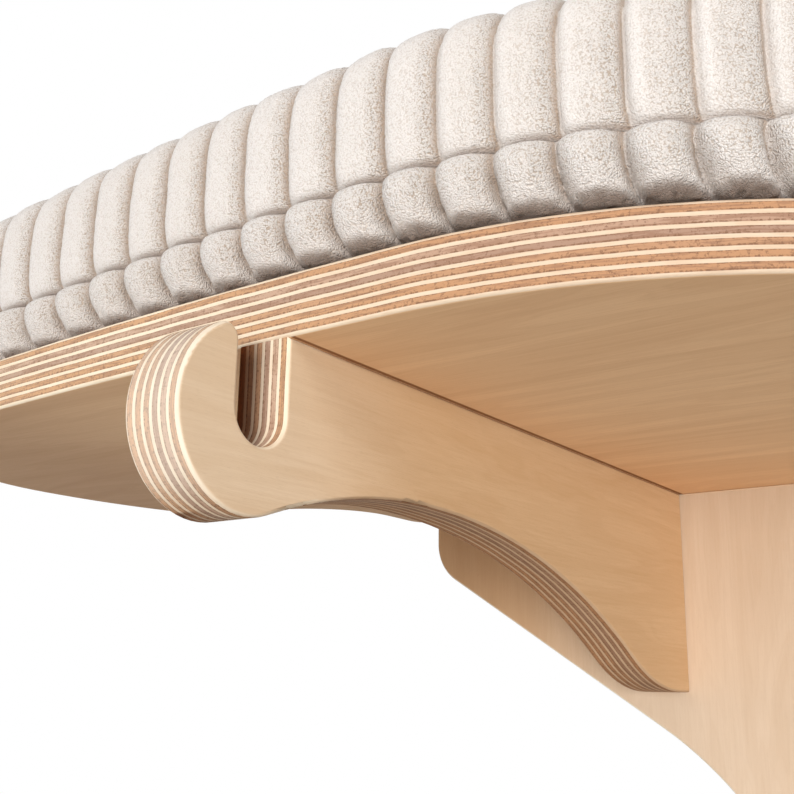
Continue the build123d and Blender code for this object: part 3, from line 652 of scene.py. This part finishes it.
# The ribs, which grow narrower from left to right
RIB_FIRST_X = -113.0
RIB_PITCH = 18.24
RIB_NARROWING = 0.14
RIB_DRIFT = 0.9
RIB_DRIFT_CELL = 37.0
RIB_DRIFT_SEED = 11
RIB_VARIATION = 0.10
RIB_SEED = 5
UPPER_PHASE = 1.5
UPPER_SQUARENESS = 3.4
LOWER_PHASE = 0.0
LOWER_SQUARENESS = 2.7


def lobe(x, y, phase, squareness):
    """How full the ribs are at a place, 0 in the valleys and about 1 on the crests."""
    drift = RIB_DRIFT * soft_noise(x, y, RIB_DRIFT_CELL, RIB_DRIFT_SEED)
    along = x + drift - phase - RIB_FIRST_X
    turns = (RIB_PITCH - np.sqrt(RIB_PITCH ** 2 - 4 * RIB_NARROWING * along)) / (2 * RIB_NARROWING)
    number = np.floor(turns)
    share = turns - number
    full = np.maximum(0.0, 1.0 - np.abs(2 * share - 1) ** squareness) ** 0.5
    return full * (1.0 + RIB_VARIATION * (hashed(number, 0 * number, RIB_SEED) - 0.5))


# Profiles: inward distance from the plan's outline and height, in millimetres
SEAM_Z = 50.0
CROWN_Z = 105.6
VALLEY_DROP = 3.0
SHOULDER = 36.0
UPPER_ROWS = 96
TOP_ROWS = 56
LOWER_ROWS = 44
TOP_SPREAD = (0.45, 0.55)
FRONT_CREST = [
    (1.6, 50.0), (-2.6, 50.3), (-5.2, 51.8), (-6.5, 56.5), (-6.8, 63.0), (-6.9, 71.0), (-6.4, 78.4),
    (-4.0, 85.0), (1.2, 90.0), (9.8, 93.8), (21.0, 97.2), (36.0, 100.2)]
FRONT_VALLEY = [
    (2.2, 50.0), (-0.6, 50.4), (-1.4, 52.6), (-1.9, 57.0), (-2.2, 63.0), (-2.3, 71.0), (-1.9, 77.6),
    (0.4, 83.2), (4.8, 87.2), (12.2, 90.8), (22.6, 94.2), (36.0, 97.2)]
BACK_CREST = [
    (1.2, 50.0), (0.2, 50.3), (0.0, 51.2), (0.0, 53.0), (0.0, 57.0), (0.0, 65.0), (1.0, 73.0), (3.8, 81.0),
    (8.6, 88.2), (15.0, 93.0), (24.0, 97.2), (36.0, 100.2)]
BACK_VALLEY = [
    (1.6, 50.0), (0.8, 50.4), (0.6, 51.4), (0.5, 53.5), (0.5, 57.0), (0.8, 65.0), (2.4, 72.6), (6.0, 79.6),
    (11.0, 85.8), (17.0, 90.2), (25.0, 94.2), (36.0, 97.2)]
LOWER_FRONT_CREST = [
    (14.0, 33.35), (6.0, 33.8), (-0.6, 35.0), (-4.8, 37.8), (-7.0, 41.8), (-7.3, 45.6), (-5.8, 48.6),
    (-2.6, 49.8), (1.6, 50.0)]
LOWER_FRONT_VALLEY = [
    (20.0, 33.35), (16.0, 34.0), (12.6, 35.9), (8.8, 38.8), (4.8, 42.0), (1.4, 45.4), (-0.4, 48.2),
    (-0.6, 49.6), (2.2, 50.0)]
LOWER_BACK_CREST = [
    (12.0, 33.35), (5.0, 33.5), (1.6, 35.6), (0.2, 39.6), (0.0, 44.0), (0.0, 48.0), (0.0, 49.2), (0.2, 49.7),
    (1.2, 50.0)]
LOWER_BACK_VALLEY = [
    (12.0, 33.35), (6.0, 33.8), (2.6, 36.2), (1.0, 39.8), (0.6, 44.0), (0.5, 48.0), (0.6, 49.0), (0.8, 49.6),
    (1.6, 50.0)]

# Where the cover lies flat under the zip, and where its pile stays off the board and out of the seam
ZIP_HALF_LENGTH = 99.0
ZIP_END_FADE = 6.0
ZIP_TOP_Z = 64.5
ZIP_TOP_FADE = 4.0
ZIP_FLATTENING = 0.85
LOWEST_Z = 33.3
BOARD_CLEARANCE = (33.4, 34.6)
SEAM_CLEARANCE = (0.05, 1.4)


def mesh_object(name, vertices, faces, smooth=True):
    mesh = bpy.data.meshes.new(name)
    mesh.from_pydata([tuple(v) for v in vertices], [], [tuple(f) for f in faces])
    mesh.update()
    if smooth:
        mesh.polygons.foreach_set("use_smooth", np.ones(len(mesh.polygons), bool))
    obj = bpy.data.objects.new(name, mesh)
    bpy.context.scene.collection.objects.link(obj)
    return obj


def grid_faces(columns, rows):
    """Faces of a closed ring of columns, each with the same rows."""
    c = np.arange(columns)
    r = np.arange(rows - 1)
    a = (c[:, None] * rows + r[None, :]).ravel()
    b = (((c + 1) % columns)[:, None] * rows + r[None, :]).ravel()
    return np.stack([a, a + 1, b + 1, b], axis=1)


def surface_normals(grid):
    across = np.roll(grid, -1, axis=0) - np.roll(grid, 1, axis=0)
    up = np.gradient(grid, axis=1)
    n = np.cross(across, up)
    return n / np.maximum(np.linalg.norm(n, axis=2, keepdims=True), 1e-9)


def rib_lines(profiles, rows, top_rows):
    """The crest and the valley at each place round the cushion: inward distance and height, row by row."""
    front_crest, front_valley, back_crest, back_valley = [spline(p, rows)[None] for p in profiles]
    back = BACKWARD[:, None, None]
    crest = front_crest * (1 - back) + back_crest * back
    valley = front_valley * (1 - back) + back_valley * back
    keep = np.clip((SHOULDER - crest[..., 0]) / SHOULDER, 0.0, 1.0)
    lean = OVERHANG[:, None] * keep
    crest[..., 0] -= lean
    valley[..., 0] -= lean
    if not top_rows:
        return crest, valley

    # The top goes on from the shoulder to the spine.
    t = (np.arange(1, top_rows + 1) / top_rows)[None, :]
    t = TOP_SPREAD[0] * t + TOP_SPREAD[1] * t ** 2
    start, shoulder_z = crest[:, -1:, 0], crest[:, -1:, 1]
    far = start + (REACH[:, None] - start) * t
    level = shoulder_z + (CROWN_Z - shoulder_z) * (1 - (1 - t) ** 2)
    crest = np.concatenate([crest, np.stack([far, level], axis=2)], axis=1)
    valley = np.concatenate([valley, np.stack([far, level - VALLEY_DROP], axis=2)], axis=1)
    return crest, valley


def cover(name, profiles, phase, squareness, rows, top_rows=0):
    """One panel of the cushion's cover: its side, and for the upper panel its top."""
    crest, valley = rib_lines(profiles, rows, top_rows)
    middle = (crest + valley) / 2
    spot = place_at(middle[..., 0])
    full = lobe(spot[..., 0], spot[..., 1], phase, squareness)
    near_zip = smoothstep(ZIP_HALF_LENGTH - np.abs(spot[..., 0]), 0.0, ZIP_END_FADE)
    near_zip = near_zip * smoothstep(ZIP_TOP_Z - middle[..., 1], 0.0, ZIP_TOP_FADE)
    near_zip = near_zip * smoothstep(NORMALS[:, 1], low=0.9, high=0.99)[:, None]
    full = full * (1 - near_zip) + near_zip
    line = valley + (crest - valley) * full[..., None]
    level = line[..., 1]
    base = np.concatenate([place_at(line[..., 0]), line[..., 1:]], axis=2)

    # On the side the pile's grid follows the girth and the height, and on top it follows the plan.
    on_top = middle[..., 0] > SHOULDER
    u = np.where(on_top, base[..., 0] + TOP_SHIFT[0], run_length(POINTS)[:, None])
    v = np.where(on_top, base[..., 1] + TOP_SHIFT[1], run_length(middle[len(middle) // 2])[None, :])
    pile = loops(u, v)
    swell = soft_noise(base[..., 0] + level, base[..., 1] + SWELL_SLANT * level, SWELL_CELL, SWELL_SEED)
    lift = (PILE_HEIGHT * (pile - 0.5) + SWELL_HEIGHT * swell) * (1 - near_zip * ZIP_FLATTENING)
    fringe = hashed(np.floor(u / FRINGE_WIDTH), np.floor(v / FRINGE_RISE), FRINGE_SEED)
    fringe = fringe * smoothstep(FRINGE_TOP_Z - level, 0.0, FRINGE_FADE)
    fringe = fringe * smoothstep(full, low=0.2, high=0.7) * (1.0 - BACKWARD[:, None])
    lift = lift + FRINGE_LENGTH * fringe
    free = smoothstep(level, *BOARD_CLEARANCE) * smoothstep(np.abs(level - SEAM_Z), *SEAM_CLEARANCE)
    moved = base + surface_normals(base) * (lift * free)[..., None]
    moved[..., 2] = np.maximum(moved[..., 2], LOWEST_Z)
    # Under the zip's tapes the cover keeps to its own plane.
    moved[..., 1] = np.where(near_zip > 0.5, np.minimum(moved[..., 1], CUSHION_BACK), moved[..., 1])

    obj = mesh_object(name, moved.reshape(-1, 3) * MM, grid_faces(*full.shape))
    for key, values in (
        ("pile", pile * (VALLEY_PILE + (1 - VALLEY_PILE) * full)),
        ("fullness", full),
        ("outlook", np.broadcast_to(NORMALS[:, :1], full.shape)),
    ):
        layer = obj.data.attributes.new(key, "FLOAT", "POINT")
        layer.data.foreach_set("value", values.astype(np.float32).ravel())
    return obj


# The plush: its color on flanks that look left in painted light and right in painted shade, in its gaps
# (painted shade) and strands, and in the valleys' painted shade
PLUSH_LIT_LEFT = (0.855, 0.81, 0.78)
PLUSH_SHADED_RIGHT = (0.815, 0.76, 0.72)
PLUSH_GAP_SHADE = (0.42, 0.31, 0.225)
PLUSH_BETWEEN = (0.56, 0.46, 0.38)
PLUSH_STRAND = (0.86, 0.82, 0.79)
PLUSH_CLOUD = (0.68, 0.61, 0.54)
PLUSH_VALLEY_SHADE = (0.44, 0.32, 0.235)
PLUSH_CREASE_SHADE = (0.36, 0.24, 0.165)
PLUSH_LOW_LIGHT = (0.90, 0.84, 0.80)
PLUSH_SHADE = (0.20, 0.135, 0.10)
TUFT_SCALE = 2.1
CURL = (0.9, 0.9, 0.9)


def plush(name):
    s = Shader(name)
    place = s.place()
    pile = s.attribute("pile")
    full = s.attribute("fullness")
    curl = s.noise_node(place, scale=0.55, roughness=0.5)
    bent = s.node("VectorMath", operation="MULTIPLY_ADD")
    for socket, value in zip(bent.inputs, (curl.outputs["Color"], CURL, place)):
        s.feed(socket, value)
    tuft = s.math("SUBTRACT", 1.0, s.cells(bent.outputs[0], TUFT_SCALE))
    strands = s.noise(place, scale=2.6, roughness=0.7)
    cloud = s.noise(place, scale=0.03, detail=2.0)

    # The loops stand out most, with painted shade in their gaps, on the flanks that look right and from just
    # above the seam down.
    turned = s.split(s.node("TexCoord").outputs["Normal"])["X"]
    turned = s.math("SUBTRACT", turned, s.math("MULTIPLY", s.attribute("outlook"), 0.5))
    level = s.split(place)["Z"]
    loop_depth_and_shade = s.math("MULTIPLY", s.remap(turned, (-0.15, 0.5), (0.35, 1.0)),
                      s.remap(level, (64.0, 92.0), (1.0, 0.8)))
    loop_depth_and_shade = s.math("MAXIMUM", loop_depth_and_shade, s.remap(level, (54.0, 48.0), (0.0, 0.72)))
    gap = s.math("MULTIPLY", s.remap(tuft, (0.55, 0.2)), loop_depth_and_shade)
    # Painted light on the flanks that look left, painted shade on those that look right.
    color = s.tinted(PLUSH_LIT_LEFT, PLUSH_SHADED_RIGHT, turned, over=(-0.25, 0.3), share=(0.0, 1.0))
    # Painted shade in the gaps between the loops.
    color = s.mix(s.math("MULTIPLY", gap, 0.85), color, PLUSH_GAP_SHADE)
    color = s.tinted(color, PLUSH_BETWEEN, pile, over=(0.0, 0.5), share=(0.2, 0.0))
    color = s.tinted(color, PLUSH_STRAND, strands, over=(0.5, 0.8), share=(0.0, 0.4))
    color = s.tinted(color, PLUSH_CLOUD, cloud, over=(0.3, 0.7), share=(0.0, 0.1))

    # Painted shade darkens the ribs' valleys and the crease at the seam, most on the flanks that look right.
    valley = s.math("MULTIPLY", s.remap(full, (0.3, 0.86), (0.85, 0.0)),
                    s.remap(turned, (-0.1, 0.45), (0.2, 1.0)))
    color = s.mix(valley, color, PLUSH_VALLEY_SHADE)
    from_seam = s.math("ABSOLUTE", s.math("SUBTRACT", level, SEAM_Z))
    crease = s.math("MULTIPLY", s.remap(from_seam, (0.2, 1.3), (0.7, 0.0)),
                    s.remap(turned, (-0.25, 0.25), (0.05, 1.0)))
    color = s.mix(crease, color, PLUSH_CREASE_SHADE)

    # Low down painted light makes the pile paler, and close over the board it lies in painted shade.
    color = s.tinted(color, PLUSH_LOW_LIGHT, level, over=(42.0, 36.0), share=(0.0, 0.4))
    color = s.tinted(color, PLUSH_SHADE, level, over=(34.2, 36.6), share=(0.85, 0.0))
    height = s.math("ADD", s.math("MULTIPLY", tuft, loop_depth_and_shade), s.math("MULTIPLY", strands, 0.35))
    normal = s.bump(height, distance=0.0008, strength=0.85)
    return s.finish(color, roughness=0.95, normal=normal, Sheen_Weight=0.3, Sheen_Roughness=0.5,
                    Specular_IOR_Level=0.12)


cover_cloth = plush("cover_cloth")
upper_cover = cover(
    "cushion_cover", [FRONT_CREST, FRONT_VALLEY, BACK_CREST, BACK_VALLEY],
    UPPER_PHASE, UPPER_SQUARENESS, UPPER_ROWS, TOP_ROWS)
lower_cover = cover(
    "cushion_lower_band", [LOWER_FRONT_CREST, LOWER_FRONT_VALLEY, LOWER_BACK_CREST, LOWER_BACK_VALLEY],
    LOWER_PHASE, LOWER_SQUARENESS, LOWER_ROWS)
for piece in (upper_cover, lower_cover):
    dress(piece, cover_cloth)


# The cushion's flat base, woven, with a pocket over each hook-and-loop patch
BASE_INSET = 13.0
BASE_Z = 33.32
RIM_STRIDE = 4
POCKET_Z = 35.6
POCKET_LENGTH = 50.6
POCKET_WIDTH = 22.6
PATCH_X = 100.0
PATCH_DEPTHS = (70.0, 215.0)
PATCH_PLACES = [(side * PATCH_X, -depth) for side in (-1, 1) for depth in PATCH_DEPTHS]
CORNER_SIGNS = ((-1, -1), (1, -1), (1, 1), (-1, 1))
INSIDE_ONLY = 1
MERGE_DISTANCE = 1e-5


def ring_edges(start, count):
    return [(start + k, start + (k + 1) % count) for k in range(count)]


def in_pocket(spot):
    return any(abs(spot[0] - x) < POCKET_LENGTH / 2 and abs(spot[1] - y) < POCKET_WIDTH / 2
               for x, y in PATCH_PLACES)


def base_panel():
    rim = place_at(np.full((len(POINTS), 1), BASE_INSET))[::RIM_STRIDE, 0]
    points = [Vector(p) for p in rim]
    edges = ring_edges(0, len(rim))
    pockets = []
    half, deep = POCKET_LENGTH / 2, POCKET_WIDTH / 2
    for x, y in PATCH_PLACES:
        pockets.append([(x + i * half, y + j * deep) for i, j in CORNER_SIGNS])
        edges += ring_edges(len(points), 4)
        points += [Vector(corner) for corner in pockets[-1]]
    made = delaunay_2d_cdt(points, edges, [list(range(len(rim)))], INSIDE_ONLY, MERGE_DISTANCE)
    flat = np.array([tuple(p) for p in made[0]])
    faces = [tuple(reversed(face)) for face in made[2] if not in_pocket(flat[list(face)].mean(axis=0))]
    vertices = [(x, y, BASE_Z) for x, y in flat]
    for corners in pockets:
        start = len(vertices)
        vertices += [(x, y, z) for z in (BASE_Z, POCKET_Z) for x, y in corners]
        faces += [(a, b, b + 4, a + 4) for a, b in ring_edges(start, 4)]
        faces.append((start + 7, start + 6, start + 5, start + 4))
    return mesh_object("cushion_base", np.array(vertices) * MM, faces, smooth=False)


base = base_panel()
dress(base, woven("base_cloth", light=(0.70, 0.62, 0.53), dark=(0.50, 0.42, 0.34), pitch=1.2))


# The seam between the panels: the allowance's section, as distances inward from its edge and heights
SEAM_BACK_INSET = 1.3
SEAM_FRONT_INSET = 1.0
SEAM_SECTION = [(0.6, -0.6), (0.0, -0.4), (0.0, 0.4), (0.6, 0.6), (6.0, 0.6), (6.0, -0.6)]


def seam():
    inset, rise = np.array(SEAM_SECTION).T
    outer = np.where(BACKWARD > 0.5, SEAM_BACK_INSET, SEAM_FRONT_INSET - OVERHANG)[:, None]
    spot = place_at(outer + inset[None, :])
    level = np.broadcast_to((SEAM_Z + rise)[None, :, None], (*spot.shape[:2], 1))
    ring = np.concatenate([spot, level], axis=2)
    corners = len(SEAM_SECTION)
    first = np.arange(len(POINTS)) * corners
    following = np.roll(first, -1)
    last = corners - 1
    closing = np.stack([first + last, first, following, following + last], axis=1)
    faces = np.vstack([grid_faces(len(POINTS), corners), closing])
    return mesh_object("cushion_seam", ring.reshape(-1, 3) * MM, faces)


seam_piece = seam()
dress(seam_piece, woven("seam_cloth", light=(0.62, 0.52, 0.42), dark=(0.44, 0.35, 0.27), pitch=0.8))

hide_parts("cushion_top_panel")
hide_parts("cushion_bottom_panel")
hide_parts("perimeter_seam")
for piece, slot in (
    (upper_cover, "ribbed_plush"), (lower_cover, "ribbed_plush"),
    (base, "ribbed_plush"), (seam_piece, "seam_fabric"),
):
    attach(piece, "cushion")


# Floor
FLOOR_HALF = 1.2
FLOOR_Z = -0.62
FLOOR_COLOR = (0.86, 0.85, 0.83)
FLOOR_SPECKLE = 0.97


def floor_plane():
    corners = [(i * FLOOR_HALF, j * FLOOR_HALF, FLOOR_Z) for i, j in CORNER_SIGNS]
    obj = mesh_object("floor", corners, [(0, 1, 2, 3)], smooth=False)
    s = Shader("floor_paint")
    speckle = s.noise(s.place(), scale=0.01, detail=2.0)
    color = s.mix(speckle, FLOOR_COLOR, [c * FLOOR_SPECKLE for c in FLOOR_COLOR])
    dress(obj, s.finish(color, roughness=0.9))


floor_plane()


# Lamps and world
WORLD_LIGHT = (1.0, 0.99, 0.975)
WORLD_STRENGTH = 0.2
BACKDROP_COLOR = (1.0, 1.0, 1.0)
BACKDROP_STRENGTH = 1.0


def lamp(name, place, target, size, power, color):
    data = bpy.data.lights.new(name, "AREA")
    data.shape = "DISK"
    data.size = size
    data.energy = power
    data.color = color
    obj = bpy.data.objects.new(name, data)
    bpy.context.scene.collection.objects.link(obj)
    obj.location = place
    obj.rotation_mode = "QUATERNION"
    obj.rotation_quaternion = (Vector(target) - Vector(place)).to_track_quat("-Z", "Y")


lamp("key", place=(1.02, -2.32, -0.16), target=(0.0, -0.15, 0.0), size=0.8, power=50.0,
     color=(1.0, 0.985, 0.965))
lamp("fill", place=(1.7, -1.35, 1.0), target=(0.0, -0.15, 0.0), size=1.0, power=10.0,
     color=(1.0, 0.99, 0.985))
lamp("left", place=(-1.9, -1.5, 0.75), target=(0.0, -0.2, 0.06), size=0.7, power=10.0,
     color=(0.97, 0.985, 1.0))

world = bpy.data.worlds.new("world")
bpy.context.scene.world = world
world.use_nodes = True
sky = Tree(world.node_tree)
rays = sky.node("LightPath").outputs
seen = sky.math("MAXIMUM", rays["Is Camera Ray"], rays["Is Glossy Ray"])
seen = sky.math("MAXIMUM", seen, rays["Is Transmission Ray"])
choice = sky.node("MixShader")
sky.link(seen, choice.inputs["Fac"])
for socket, color, strength in (
    (choice.inputs[1], WORLD_LIGHT, WORLD_STRENGTH),
    (choice.inputs[2], BACKDROP_COLOR, BACKDROP_STRENGTH),
):
    background = sky.node("Background")
    sky.feed_color(background.inputs["Color"], color)
    background.inputs["Strength"].default_value = strength
    sky.link(background.outputs[0], socket)
sky.link(choice.outputs[0], sky.node("OutputWorld").inputs["Surface"])
